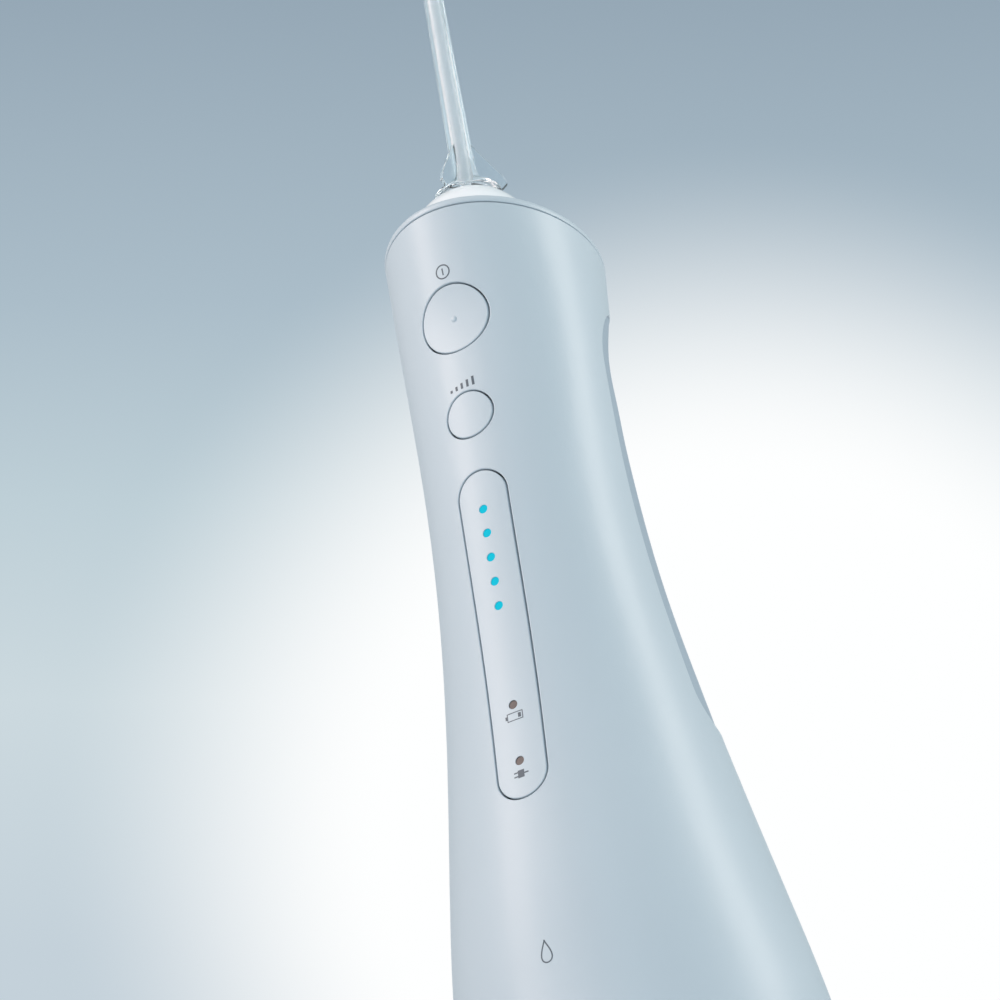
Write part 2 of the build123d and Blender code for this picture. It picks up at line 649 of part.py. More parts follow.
def make_nozzle():
    """Clear nozzle: stem, flange, flared foot with three fins, long tapering tube and bent tip."""
    bend_z, bend_r, bend_angle = 279.4, 6.0, 75.0
    tip_r, hole, jet_r = 1.98, 1.08, 0.45
    foot = 203.5
    with BuildSketch(Plane.XZ) as profile:
        with BuildLine():
            Polyline((0, 184), (STEM_R, 184), (STEM_R, foot), (7.3, foot))
            Spline((7.3, foot), (7.6, foot + 0.6), (6.9, foot + 1.3), tangents=[(1, 0.3), (-1, 0.3)])
            Spline((6.9, foot + 1.3), (3.5, foot + 4.6), (2.65, foot + 10.5),
                   tangents=[(-1, 0.3), (-0.02, 1)])
            Polyline((2.65, foot + 10.5), (2.54, 224.6), (2.2, 258.0), (tip_r, bend_z),
                     (0, bend_z), (0, 184))
        make_face()
    nozzle = Pos(0, AXIS_Y, 0) * revolve(profile.sketch, Axis.Z)
    bend_axis = Axis((0, -bend_r, 0), (1, 0, 0))
    swing = math.radians(bend_angle)
    tip_start = (0, AXIS_Y - bend_r + bend_r * math.cos(swing), bend_z + bend_r * math.sin(swing))
    tip_dir = (0, -math.sin(swing), math.cos(swing))
    tip_end = shifted(tip_start, tuple(2.6 * d for d in tip_dir))
    nozzle += Pos(0, AXIS_Y, bend_z) * revolve(Circle(tip_r), bend_axis, bend_angle)
    nozzle += Plane(origin=tip_start, z_dir=tip_dir) * extrude(Circle(tip_r), 2.6, taper=12)
    for turn in (20, 140, 260):
        with BuildSketch(Plane.XZ) as fin:
            with BuildLine():
                Polyline((1.6, foot + 0.7), (7.6, foot + 0.4), (9.1, foot + 1.7), (8.3, foot + 3.9),
                         (2.2, foot + 13.9), (1.6, foot + 13.9), close=True)
            make_face()
            corners = [v for v in fin.vertices() if v.X > 7]
            fillet(corners, 0.6)
        nozzle += Pos(0, AXIS_Y, 0) * Rot(0, 0, turn) * extrude(fin.sketch, 0.42, both=True)
    nozzle -= ring((0, AXIS_Y, 186.4), (0, AXIS_Y, 188.0), STEM_R + 1, STEM_R - 0.8)
    nozzle -= rod((0, AXIS_Y, 183), (0, AXIS_Y, bend_z), hole)
    nozzle -= Pos(0, AXIS_Y, bend_z) * revolve(Circle(hole), bend_axis, bend_angle)
    inside = shifted(tip_start, tuple(-0.2 * d for d in tip_dir))
    return nozzle - rod(inside, shifted(tip_end, tip_dir), jet_r)


def make_nozzle_ring():
    """Rubber ring on the nozzle's stem."""
    return ring((0, AXIS_Y, 186.4), (0, AXIS_Y, 188.0), STEM_R + 0.02, STEM_R - 0.8)


def make_release_button():
    """Rear push button that frees the nozzle."""
    proud = 0.8
    button = (skin(-proud) & release_bar(0)) & block(-10, 10, 10.5, 40, 170, 190)
    return rounded(button, lambda m: True, LIP_EDGE, proud, 0.1)


def make_latch():
    """Sliding fork behind the release button, round the sleeve's groove."""
    plate = block(-7, 7, -20, 10.5, 179.4, 180.8)
    slot = block(-4.8, 4.8, -30, AXIS_Y, 178, 182) + rod((0, AXIS_Y + 2, 178), (0, AXIS_Y + 2, 182), 4.8)
    slot += block(-4.8, 4.8, AXIS_Y - 1, AXIS_Y + 2, 178, 182)
    return plate - slot + block(-4, 4, 8.9, 10.5, 176.4, 180.0)


def make_latch_spring():
    """Return spring between the chassis post and the latch."""
    wire = Helix(pitch=1.5, height=7.4, radius=1.5)
    start = Plane(origin=wire @ 0, z_dir=wire % 0)
    coil = sweep(start * Circle(0.25), path=wire, is_frenet=True)
    return Pos(0, 0.9, 177.2) * Rot(-90, 0, 0) * coil


# ---------------------------------------------------------------- tank
def make_tank():
    """Tank with a flush rear panel, a filler opening and a hole for the suction spigot."""
    bottom, top = FOOT_H, TANK_TOP - 0.8
    low, high = bottom + TANK_WALL, top - TANK_WALL
    body = skin(WALL + TANK_GAP) & block(-60, 60, TANK_FRONT, 60, bottom, top)
    panel = OUTER & tank_region(GROOVE) & block(-60, 60, -60, 60, bottom, 80)
    panel = rounded(panel, lambda m: m.Z > bottom + 0.5, EDGE)
    void = skin(WALL + TANK_GAP + TANK_WALL) & block(-60, 60, TANK_FRONT + TANK_WALL, 60, low, high)
    rear_void = skin(TANK_WALL) & tank_region(TANK_WALL - 0.2) & block(-60, 60, -60, 60, low, high)
    boss = rod((HOSE_X, AXIS_Y, top - 5.0), (HOSE_X, AXIS_Y, top), 4.6)
    tank = body + panel - void - rear_void + boss
    tank -= block(-LID_HALF - 0.3, LID_HALF + 0.3, 18, 60, HINGE_Z - 2.0, LID_HIGH + 0.3)
    for x in (-8.5, 5.3):
        ear = rod((x, HINGE_Y, HINGE_Z), (x + 3.2, HINGE_Y, HINGE_Z), 1.7)
        ear += block(x, x + 3.2, HINGE_Y - 1.7, HINGE_Y + 0.6, HINGE_Z - 4.5, HINGE_Z)
        tank += ear & OUTER
    tank -= rod((-12, HINGE_Y, HINGE_Z), (12, HINGE_Y, HINGE_Z), 0.8)
    port_low = shifted((HOSE_X, AXIS_Y, 64.0), slide_step(11))
    tank -= rod((HOSE_X, AXIS_Y, 64.0), port_low, 3.0)
    return tank, void + rear_void


def make_port_seal():
    """Rubber ring in the tank's port."""
    start = shifted((HOSE_X, AXIS_Y, 64.0), slide_step(2.9))
    end = shifted((HOSE_X, AXIS_Y, 64.0), slide_step(5.6))
    return ring(start, end, 3.0, HOSE_R + 0.06)


def make_suction_tube():
    """Tube that hangs from the port down to the tank's floor."""
    top = shifted((HOSE_X, AXIS_Y, 64.0), slide_step(7.2))
    turn = shifted((HOSE_X, AXIS_Y, 64.0), slide_step(9.5))
    tube = rod(top, turn, 2.9) + rod(turn, (HOSE_X, AXIS_Y + 1.6, 11.0), 2.2)
    tube -= rod(shifted(top, slide_step(-1)), shifted(turn, slide_step(-0.6)), 1.3)
    return tube - rod(shifted(turn, slide_step(-1)), (HOSE_X, AXIS_Y + 1.6, 10.0), 1.3)


def make_filter():
    """Slotted cap on the suction tube's end."""
    y = AXIS_Y + 1.6
    cap = rod((HOSE_X, y, 5.0), (HOSE_X, y, 13.0), 4.0) - rod((HOSE_X, y, 6.2), (HOSE_X, y, 14), 2.25)
    for turn in range(4):
        bar = block(-0.5, 0.5, -6, 6, 6.4, 9.6)
        cap -= Pos(HOSE_X, y, 0) * Rot(0, 0, 45 * turn) * bar
    return cap


def make_tank_feet():
    """Rubber feet under the tank."""
    feet = []
    for x, y in ((-22, 8), (22, 8), (0, 28)):
        feet.append(rod((x, y, 0), (x, y, FOOT_H), 4.0))
    return Compound(feet)


def make_lid():
    """Hinged filler lid, flush with the tank's back."""
    plate = (OUTER - skin(TANK_WALL)) & block(-LID_HALF, LID_HALF, 18, 60, LID_LOW, LID_HIGH)
    plate = rounded(plate, lambda m: True, EDGE)
    knuckle = rod((-5.0, HINGE_Y, HINGE_Z), (5.0, HINGE_Y, HINGE_Z), 1.7)
    web = block(-5.0, 5.0, HINGE_Y - 0.6, HINGE_Y + 1.2, HINGE_Z, LID_LOW + 1.0)
    web = web & OUTER
    return plate + knuckle + web - rod((-12, HINGE_Y, HINGE_Z), (12, HINGE_Y, HINGE_Z), 0.8)


def make_lid_seal():
    """Rubber frame on the lid's inside."""
    frame = (skin(TANK_WALL) - skin(TANK_WALL + 1.5)) & block(-9.5, 9.5, 18, 60, 44.5, 54.5)
    return frame - block(-8.0, 8.0, 10, 60, 46.0, 53.0)


def make_hinge_pin():
    """Steel pin of the lid's hinge."""
    return rod((-8.3, HINGE_Y, HINGE_Z), (8.3, HINGE_Y, HINGE_Z), 0.75)


# ---------------------------------------------------------------- build
def build_all():
    """Every sub-part, by name."""
    tank, void = make_tank()
    print("tank volume, litres:", round(void.volume / 1e6, 3))
    PARTS.update(
        main_housing=make_housing(), rear_cover=make_rear_cover(), grip_pad=make_grip_pad(),
        top_cap=make_cap(), nozzle_dome=make_dome(), indicator_panel=make_panel(),
        level_lenses=Compound([make_lens(z) for z in lamp_heights()]),
        battery_lens=make_lens(BATTERY_LAMP_Z), charge_lens=make_lens(CHARGE_LAMP_Z),
        power_button=make_power_button(), level_button=make_button(OUTER, LEVEL_Z, LEVEL_R),
        button_membrane=make_membrane(), circuit_board=make_board(), indicator_leds=make_leds(),
        tact_switches=make_switches(), board_chips=make_chips(), battery_cells=make_cells(),
        battery_tabs=make_tabs(), charging_coil=make_coil(), coil_core=make_coil_core(),
        base_cover=make_base_cover(), front_foot=make_front_foot(), chassis=make_chassis(),
        rear_screws=make_screws(), motor_can=make_motor_can(), motor_end=make_motor_end(),
        motor_magnets=make_magnets(), motor_rotor=make_rotor(), drive_pinion=make_pinion(),
        crown_gear=make_crown(), gear_axle=make_axle(), crank_pin=make_crank_pin(),
        pump_piston=make_piston(), piston_seal=make_piston_seal(), pump_cylinder=make_cylinder(),
        pump_head=make_pump_head(), valve_ball=make_valve_ball(), valve_spring=make_valve_spring(),
        outlet_tube=make_outlet_tube(), inlet_tube=make_inlet_tube(), suction_port=make_suction_port(),
        motor_leads=make_motor_leads(), nozzle_sleeve=make_sleeve(), swivel_ring=make_swivel_ring(),
        nozzle=make_nozzle(), nozzle_ring=make_nozzle_ring(), release_button=make_release_button(),
        release_latch=make_latch(), latch_spring=make_latch_spring(), water_tank=tank,
        port_seal=make_port_seal(), suction_tube=make_suction_tube(), suction_filter=make_filter(),
        tank_feet=make_tank_feet(), tank_lid=make_lid(), lid_seal=make_lid_seal(), lid_pin=make_hinge_pin(),
    )


build_all()
os.makedirs("parts", exist_ok=True)
for name, shape in PARTS.items():
    export_step(shape, f"parts/{name}.step")
print(len(PARTS), "nodes written")
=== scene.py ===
"""Looks of the cordless water flosser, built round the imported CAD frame. Lengths are metres."""
import json
import math

import bmesh
import bpy
from mathutils import Matrix, Vector
from mathutils.bvhtree import BVHTree


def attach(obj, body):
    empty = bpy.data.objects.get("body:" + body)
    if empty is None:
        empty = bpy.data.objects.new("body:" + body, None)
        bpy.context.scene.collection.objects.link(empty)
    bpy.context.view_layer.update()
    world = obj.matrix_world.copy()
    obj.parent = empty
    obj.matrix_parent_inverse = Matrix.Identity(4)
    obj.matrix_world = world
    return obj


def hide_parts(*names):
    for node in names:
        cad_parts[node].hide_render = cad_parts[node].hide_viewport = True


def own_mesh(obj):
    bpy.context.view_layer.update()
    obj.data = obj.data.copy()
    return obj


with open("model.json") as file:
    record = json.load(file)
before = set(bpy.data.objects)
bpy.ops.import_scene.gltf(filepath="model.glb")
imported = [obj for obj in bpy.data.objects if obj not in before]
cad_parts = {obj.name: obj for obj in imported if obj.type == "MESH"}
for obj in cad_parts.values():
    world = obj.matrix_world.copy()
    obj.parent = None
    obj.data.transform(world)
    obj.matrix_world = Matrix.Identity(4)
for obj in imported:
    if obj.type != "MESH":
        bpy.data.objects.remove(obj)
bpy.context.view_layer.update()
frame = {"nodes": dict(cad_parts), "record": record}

MM = 0.001
nodes = frame["nodes"]
scene = bpy.context.scene


def srgb(red, green, blue):
    """Linear colour with alpha 1, from display values of 0 to 255."""
    parts = [c / 255 for c in (red, green, blue)]
    return [c / 12.92 if c < 0.04045 else ((c + 0.055) / 1.055) ** 2.4 for c in parts] + [1.0]


# ---------------------------------------------------------------- materials
def shade(name, base, vary=0.03, spots=60, grain=0.0, grain_size=0.0004, **settings):
    """A moulded material: base colour drifting a little, roughness drifting with it, and a fine grain."""
    mat = bpy.data.materials.new(name)
    mat.use_nodes = True
    tree = mat.node_tree
    shader = tree.nodes["Principled BSDF"]
    for key, value in settings.items():
        shader.inputs[key.replace("_", " ")].default_value = value
    where = tree.nodes.new("ShaderNodeTexCoord")
    cloud = tree.nodes.new("ShaderNodeTexNoise")
    cloud.inputs["Scale"].default_value = spots
    cloud.inputs["Detail"].default_value = 3
    tree.links.new(where.outputs["Object"], cloud.inputs["Vector"])
    tint = tree.nodes.new("ShaderNodeMix")
    tint.data_type = "RGBA"
    dark = [c * (1 - vary) for c in base[:3]] + [1.0]
    light = [min(1.0, c * (1 + vary)) for c in base[:3]] + [1.0]
    tint.inputs["A"].default_value = dark
    tint.inputs["B"].default_value = light
    tree.links.new(cloud.outputs["Fac"], tint.inputs["Factor"])
    tree.links.new(tint.outputs["Result"], shader.inputs["Base Color"])
    rough = settings.get("Roughness", 0.4)
    spread = tree.nodes.new("ShaderNodeMapRange")
    spread.inputs["To Min"].default_value = rough * 0.92
    spread.inputs["To Max"].default_value = min(1.0, rough * 1.08)
    tree.links.new(cloud.outputs["Fac"], spread.inputs["Value"])
    tree.links.new(spread.outputs["Result"], shader.inputs["Roughness"])
    if grain:
        pits = tree.nodes.new("ShaderNodeTexNoise")
        pits.inputs["Scale"].default_value = 1 / grain_size
        pits.inputs["Detail"].default_value = 2
        tree.links.new(where.outputs["Object"], pits.inputs["Vector"])
        bump = tree.nodes.new("ShaderNodeBump")
        bump.inputs["Strength"].default_value = grain
        bump.inputs["Distance"].default_value = grain_size * 0.25
        tree.links.new(pits.outputs["Fac"], bump.inputs["Height"])
        tree.links.new(bump.outputs["Normal"], shader.inputs["Normal"])
    return mat


def frost_bore(mat, axis_y, radius, rough, clear, milky):
    """Makes a clear material rough and milky inside a radius round an upright axis, as a moulded bore is."""
    tree = mat.node_tree
    shader = tree.nodes["Principled BSDF"]
    outside = shader.inputs["Roughness"].links[0].from_socket
    where = tree.nodes.new("ShaderNodeTexCoord")
    shift = tree.nodes.new("ShaderNodeVectorMath")
    shift.operation = "SUBTRACT"
    shift.inputs[1].default_value = (0, axis_y, 0)
    flat = tree.nodes.new("ShaderNodeVectorMath")
    flat.operation = "MULTIPLY"
    flat.inputs[1].default_value = (1, 1, 0)
    away = tree.nodes.new("ShaderNodeVectorMath")
    away.operation = "LENGTH"
    inside = tree.nodes.new("ShaderNodeMath")
    inside.operation = "LESS_THAN"
    inside.inputs[1].default_value = radius
    pick = tree.nodes.new("ShaderNodeMix")
    pick.inputs["B"].default_value = rough
    tree.links.new(where.outputs["Object"], shift.inputs[0])
    tree.links.new(shift.outputs["Vector"], flat.inputs[0])
    tree.links.new(flat.outputs["Vector"], away.inputs[0])
    tree.links.new(away.outputs["Value"], inside.inputs[0])
    tree.links.new(inside.outputs[0], pick.inputs["Factor"])
    tree.links.new(outside, pick.inputs["A"])
    tree.links.new(pick.outputs["Result"], shader.inputs["Roughness"])
    milk = tree.nodes.new("ShaderNodeMapRange")
    milk.inputs["To Min"].default_value, milk.inputs["To Max"].default_value = clear, milky
    tree.links.new(inside.outputs[0], milk.inputs["Value"])
    tree.links.new(milk.outputs["Result"], shader.inputs["Transmission Weight"])


# After the colour: how far it varies, spots per metre, strength of the grain and the grain's size.
body_plastic = shade("body_plastic", srgb(203, 214, 222), 0.01, 45, 0.25, 0.00025, Roughness=0.42,
                     Coat_Weight=0.12, Coat_Roughness=0.25)
grip_plastic = shade("grip_plastic", srgb(170, 184, 196), 0.03, 70, 0.5, 0.0006, Roughness=0.6)
# The dome's small white emission is a painted glow: it brightens the dome though the dome is no lamp.
dome_plastic_painted_glow = shade("dome_plastic_painted_glow", srgb(250, 252, 255), 0.01, 60, 0.0, Roughness=0.18, Coat_Weight=0.4,
                     Emission_Color=srgb(245, 250, 255), Emission_Strength=0.08)
clear_plastic = shade("clear_plastic", srgb(246, 252, 255), 0.003, 80, 0.0, Roughness=0.03, IOR=1.47)
NOZZLE_AXIS_Y, FROST_RADIUS = -16, 1.3          # mm
FROST_ROUGHNESS, CLEAR_SHARE, MILKY_SHARE = 0.4, 0.96, 0.3
frost_bore(clear_plastic, NOZZLE_AXIS_Y * MM, FROST_RADIUS * MM, FROST_ROUGHNESS, CLEAR_SHARE, MILKY_SHARE)
print_grey = shade("print_grey", srgb(92, 102, 112), 0.05, 300, 0.0, Roughness=0.5)
tank_plastic = shade("tank_plastic", srgb(214, 226, 236), 0.01, 60, 0.1, Roughness=0.16, IOR=1.5,
                     Transmission_Weight=0.6)
lamp_blue = shade("lamp_blue", srgb(0, 130, 150), 0.05, 600, 0.0, Roughness=0.6, Specular_IOR_Level=0.1,
                  Emission_Color=srgb(0, 215, 240), Emission_Strength=0.5)
lamp_off = shade("lamp_off", srgb(92, 80, 78), 0.06, 600, 0.0, Roughness=0.3)
rubber = shade("rubber", srgb(44, 47, 52), 0.08, 120, 0.4, 0.0004, Roughness=0.6)
board = shade("board_green", srgb(20, 92, 60), 0.1, 200, 0.1, Roughness=0.45)
led_white = shade("led_white", srgb(238, 236, 220), 0.02, 300, 0.0, Roughness=0.35)
switch_black = shade("switch_black", srgb(32, 33, 36), 0.08, 300, 0.2, Roughness=0.4)
cell_wrap = shade("cell_wrap", srgb(58, 118, 160), 0.05, 50, 0.05, Roughness=0.35)
nickel = shade("nickel", srgb(200, 198, 190), 0.05, 200, 0.15, Roughness=0.28, Metallic=1.0)
copper = shade("copper", srgb(196, 120, 78), 0.08, 300, 0.2, Roughness=0.35, Metallic=1.0)
ferrite = shade("ferrite", srgb(62, 60, 62), 0.1, 300, 0.3, Roughness=0.55)
inner_white = shade("inner_white", srgb(226, 229, 230), 0.02, 80, 0.1, Roughness=0.45)
gear_white = shade("gear_white", srgb(236, 232, 216), 0.02, 120, 0.05, Roughness=0.38)
brass = shade("brass", srgb(206, 172, 96), 0.06, 250, 0.15, Roughness=0.3, Metallic=1.0)
motor_steel = shade("motor_steel", srgb(172, 176, 180), 0.05, 160, 0.15, Roughness=0.32, Metallic=1.0)
magnet = shade("magnet", srgb(78, 78, 84), 0.08, 250, 0.3, Roughness=0.5)
hose = shade("hose", srgb(210, 216, 220), 0.02, 120, 0.05, Roughness=0.3, Transmission_Weight=0.35)
filter_grey = shade("filter_grey", srgb(126, 136, 144), 0.05, 200, 0.4, 0.0006, Roughness=0.6)
lead_red = shade("lead_red", srgb(190, 44, 40), 0.06, 200, 0.1, Roughness=0.45)

BY_SLOT = {
    "body_shell": body_plastic, "grip_soft": grip_plastic, "dome_white": dome_plastic_painted_glow, "clear": clear_plastic,
    "tank_tint": tank_plastic, "lamp_blue": lamp_blue, "lamp_off": lamp_off, "rubber_dark": rubber,
    "board_green": board, "led_white": led_white, "switch_black": switch_black, "cell_wrap": cell_wrap,
    "nickel": nickel, "copper": copper, "ferrite": ferrite, "inner_white": inner_white,
    "gear_white": gear_white, "brass": brass, "motor_steel": motor_steel, "magnet": magnet, "hose": hose,
    "filter_grey": filter_grey, "lead_red": lead_red,
}
slot_of = {part["node"]: part["material_slot"] for part in frame["record"]["subparts"]}
for name, obj in nodes.items():
    chosen = BY_SLOT[slot_of[name]]
    obj.data.materials.clear()
    obj.data.materials.append(chosen)
    for face in obj.data.polygons:
        face.material_index = 0

silicone = shade("silicone", srgb(206, 214, 220), 0.03, 120, 0.2, 0.0004, Roughness=0.5)
nodes["button_membrane"].data.materials[0] = silicone

# The return spring of the nozzle release, copied with a mesh of its own and hung on the handle in place of
# the CAD node.
coil = bpy.data.objects.new("release_coil", nodes["latch_spring"].data.copy())
scene.collection.objects.link(coil)
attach(coil, "handle")
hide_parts("latch_spring")
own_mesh(coil)

# ---------------------------------------------------------------- printed signs
PRINT_STEP, PRINT_RISE, PRINT_THICK = 0.25, 0.03, 0.05      # mm
HOOP_POINTS = 48
RAY_START_Y = -0.1              # well in front of the object, in metres


def outer_tree(name):
    """Search tree of a CAD node's surface."""
    obj = nodes[name]
    points = [obj.matrix_world @ v.co for v in obj.data.vertices]
    return BVHTree.FromPolygons(points, [tuple(face.vertices) for face in obj.data.polygons])


def strip(x0, x1, z0, z1):
    """Rectangle in the front view, in mm, cut into short pieces that can follow the surface."""
    columns = max(1, math.ceil((x1 - x0) / PRINT_STEP))
    rows = max(1, math.ceil((z1 - z0) / PRINT_STEP))
    points = [(x0 + (x1 - x0) * i / columns, z0 + (z1 - z0) * j / rows)
              for j in range(rows + 1) for i in range(columns + 1)]
    wide = columns + 1
    faces = [(j * wide + i, j * wide + i + 1, (j + 1) * wide + i + 1, (j + 1) * wide + i)
             for j in range(rows) for i in range(columns)]
    return points, faces


def hoop(outline, width):
    """Closed line of a given width in the front view, round outline(t) for t from 0 to 1."""
    points = []
    for i in range(HOOP_POINTS):
        here = Vector(outline(i / HOOP_POINTS))
        ahead = Vector(outline((i + 0.5) / HOOP_POINTS)) - Vector(outline((i - 0.5) / HOOP_POINTS))
        side = Vector((ahead.y, -ahead.x)).normalized() * width / 2
        points += [tuple(here + side), tuple(here - side)]
    faces = []
    for i in range(HOOP_POINTS):
        a, b = 2 * i, 2 * ((i + 1) % HOOP_POINTS)
        faces.append((a, b, b + 1, a + 1))
    return points, faces


def printed(name, shapes, ground):
    """Thin printed sign on the front of a CAD node, made of front-view shapes."""
    tree = outer_tree(ground)
    mesh = bpy.data.meshes.new(name)
    verts, faces = [], []
    for points, polygons in shapes:
        start = len(verts)
        for x, z in points:
            spot = tree.ray_cast(Vector((x * MM, RAY_START_Y, z * MM)), Vector((0, 1, 0)))[0]
            verts.append(spot - Vector((0, PRINT_RISE * MM, 0)))
        faces += [tuple(start + k for k in polygon) for polygon in polygons]
    mesh.from_pydata([tuple(v) for v in verts], [], faces)
    shell = bmesh.new()
    shell.from_mesh(mesh)
    bmesh.ops.recalc_face_normals(shell, faces=shell.faces)
    for face in shell.faces:
        if face.normal.y > 0:
            face.normal_flip()
    shell.to_mesh(mesh)
    shell.free()
    mesh.materials.append(print_grey)
    obj = bpy.data.objects.new(name, mesh)
    scene.collection.objects.link(obj)
    skin = obj.modifiers.new("thickness", "SOLIDIFY")
    skin.thickness = PRINT_THICK * MM
    skin.offset = -1
    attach(obj, "handle")


def circle_line(x, z, radius):
    """Circle outline round (x, z)."""
    return lambda t: (x + radius * math.cos(2 * math.pi * t), z + radius * math.sin(2 * math.pi * t))


def drop_line(x, z, radius):
    """Water drop outline round (x, z): a circle drawn up to a point."""
    def outline(t):
        turn = 2 * math.pi * t
        reach = abs(math.sin(turn / 2)) ** 1.6
        return x + radius * math.sin(turn) * reach, z + radius * 1.35 * math.cos(turn)
    return outline


def boxes(z, *sides):
    """Rectangles of a sign centred at height z, each as left, right, and low and high from z, in mm."""
    return [strip(left, right, z + low, z + high) for left, right, low, high in sides]


# Heights of the signs and their sizes, in mm.
POWER_SIGN_Z, LEVEL_SIGN_Z, BATTERY_SIGN_Z, PLUG_SIGN_Z, DROP_SIGN_Z = 175.8, 147.5, 69.6, 56.4, 17.4
POWER_RADIUS, POWER_LINE = 1.55, 0.3
BAR_COUNT, BAR_LEFT, BAR_PITCH, BAR_WIDTH = 5, -3.5, 1.35, 0.55
SHORTEST_BAR, BAR_GROWTH = 0.65, 0.36
DROP_RADIUS, DROP_LINE = 1.7, 0.28

ring = hoop(circle_line(0, POWER_SIGN_Z, POWER_RADIUS), POWER_LINE)
printed("power_sign", [ring] + boxes(POWER_SIGN_Z, (-0.15, 0.15, -0.8, 0.8)), "main_housing")
bars = []
for i in range(BAR_COUNT):
    left_edge = BAR_LEFT + BAR_PITCH * i
    bar_top = LEVEL_SIGN_Z + SHORTEST_BAR + BAR_GROWTH * i
    bars.append(strip(left_edge, left_edge + BAR_WIDTH, LEVEL_SIGN_Z, bar_top))
printed("level_sign", bars, "main_housing")
battery = boxes(
    BATTERY_SIGN_Z,
    (-1.7, 1.95, 0.77, 0.95),       # top of the case
    (-1.7, 1.95, -0.95, -0.77),     # its bottom
    (-1.7, -1.52, -0.77, 0.77),     # its left wall
    (1.77, 1.95, -0.77, 0.77),      # its right wall
    (-2.1, -1.7, -0.4, 0.4),        # the terminal
    (0.85, 1.5, -0.5, 0.5),         # the last bit of charge
)
printed("battery_sign", battery, "indicator_panel")
plug = boxes(
    PLUG_SIGN_Z,
    (-0.7, 0.75, -0.85, 0.85),      # plug body
    (-1.6, -0.7, 0.3, 0.58),        # upper prong
    (-1.6, -0.7, -0.58, -0.3),      # lower prong
    (0.75, 1.7, -0.15, 0.15),       # cord
)
printed("plug_sign", plug, "indicator_panel")
printed("drop_sign", [hoop(drop_line(0, DROP_SIGN_Z, DROP_RADIUS), DROP_LINE)], "main_housing")

# ---------------------------------------------------------------- stage
AIM = Vector((0.0002, -0.0272, 0.1233))
AZIMUTH, ELEVATION, ROLL = math.radians(25.0), math.radians(-27.13), math.radians(-9.83)
RANGE, LENS, SENSOR = 0.868, 148.9, 36         # metres, then millimetres as Blender's camera takes them
level = math.cos(ELEVATION)
back = Vector((math.sin(AZIMUTH) * level, -math.cos(AZIMUTH) * level, math.sin(ELEVATION)))
right = Vector((math.cos(AZIMUTH), math.sin(AZIMUTH), 0))
up = back.cross(right)
turned_right = right * math.cos(ROLL) + up * math.sin(ROLL)
turned_up = up * math.cos(ROLL) - right * math.sin(ROLL)
camera = bpy.data.objects.new("camera", bpy.data.cameras.new("camera"))
scene.collection.objects.link(camera)
camera.data.lens = LENS
camera.data.sensor_width = SENSOR
camera.data.clip_start, camera.data.clip_end = 0.01, 50
axes = Matrix((turned_right, turned_up, back)).transposed().to_4x4()
camera.matrix_world = Matrix.Translation(AIM + back * RANGE) @ axes
scene.camera = camera


def one_sided(name, colour_nodes):
    """A stage material seen only from its front; colour_nodes(tree) returns the front's shader socket."""
    mat = bpy.data.materials.new(name)
    mat.use_nodes = True
    tree = mat.node_tree
    tree.nodes.clear()
    out = tree.nodes.new("ShaderNodeOutputMaterial")
    side = tree.nodes.new("ShaderNodeNewGeometry")
    through = tree.nodes.new("ShaderNodeBsdfTransparent")
    pick = tree.nodes.new("ShaderNodeMixShader")
    tree.links.new(side.outputs["Backfacing"], pick.inputs[0])
    tree.links.new(colour_nodes(tree), pick.inputs[1])
    tree.links.new(through.outputs[0], pick.inputs[2])
    tree.links.new(pick.outputs[0], out.inputs[0])
    return mat


def quad(name, centre, across, along, mat):
    """A flat stage card round centre, reaching across and along from it, and facing their cross product."""
    mesh = bpy.data.meshes.new(name)
    low_side, high_side = centre - along, centre + along
    corners = [low_side - across, low_side + across, high_side + across, high_side - across]
    mesh.from_pydata([tuple(c) for c in corners], [], [(0, 1, 2, 3)])
    uv = mesh.uv_layers.new(name="card")
    for i, spot in enumerate([(0, 0), (1, 0), (1, 1), (0, 1)]):
        uv.data[i].uv = spot
    mesh.materials.append(mat)
    obj = bpy.data.objects.new(name, mesh)
    scene.collection.objects.link(obj)


SKY, BRIGHT_SKY = (0.28, 0.37, 0.41), (0.56, 0.66, 0.72)
FLOOR_NEAR, FLOOR_FAR = 0.3, 0.85
FLOOR_Z, FLOOR_HALF = -0.0005, 3


def floor_shader(tree):
    """Pale paint near the object that fades into the sky's colour further out."""
    paint = tree.nodes.new("ShaderNodeBsdfPrincipled")
    paint.inputs["Base Color"].default_value = srgb(222, 229, 234)
    paint.inputs["Roughness"].default_value = 0.6
    haze = tree.nodes.new("ShaderNodeEmission")
    haze.inputs["Color"].default_value = (*SKY, 1.0)
    where = tree.nodes.new("ShaderNodeTexCoord")
    away = tree.nodes.new("ShaderNodeVectorMath")
    away.operation = "LENGTH"
    tree.links.new(where.outputs["Object"], away.inputs[0])
    fade = tree.nodes.new("ShaderNodeMapRange")
    fade.interpolation_type = "SMOOTHSTEP"
    fade.inputs["From Min"].default_value, fade.inputs["From Max"].default_value = FLOOR_NEAR, FLOOR_FAR
    tree.links.new(away.outputs["Value"], fade.inputs["Value"])
    blend = tree.nodes.new("ShaderNodeMixShader")
    tree.links.new(fade.outputs["Result"], blend.inputs[0])
    tree.links.new(paint.outputs[0], blend.inputs[1])
    tree.links.new(haze.outputs[0], blend.inputs[2])
    return blend.outputs[0]


floor_paint = one_sided("floor_paint", floor_shader)
quad("floor", Vector((0, 0, FLOOR_Z)), Vector((FLOOR_HALF, 0, 0)), Vector((0, FLOOR_HALF, 0)), floor_paint)

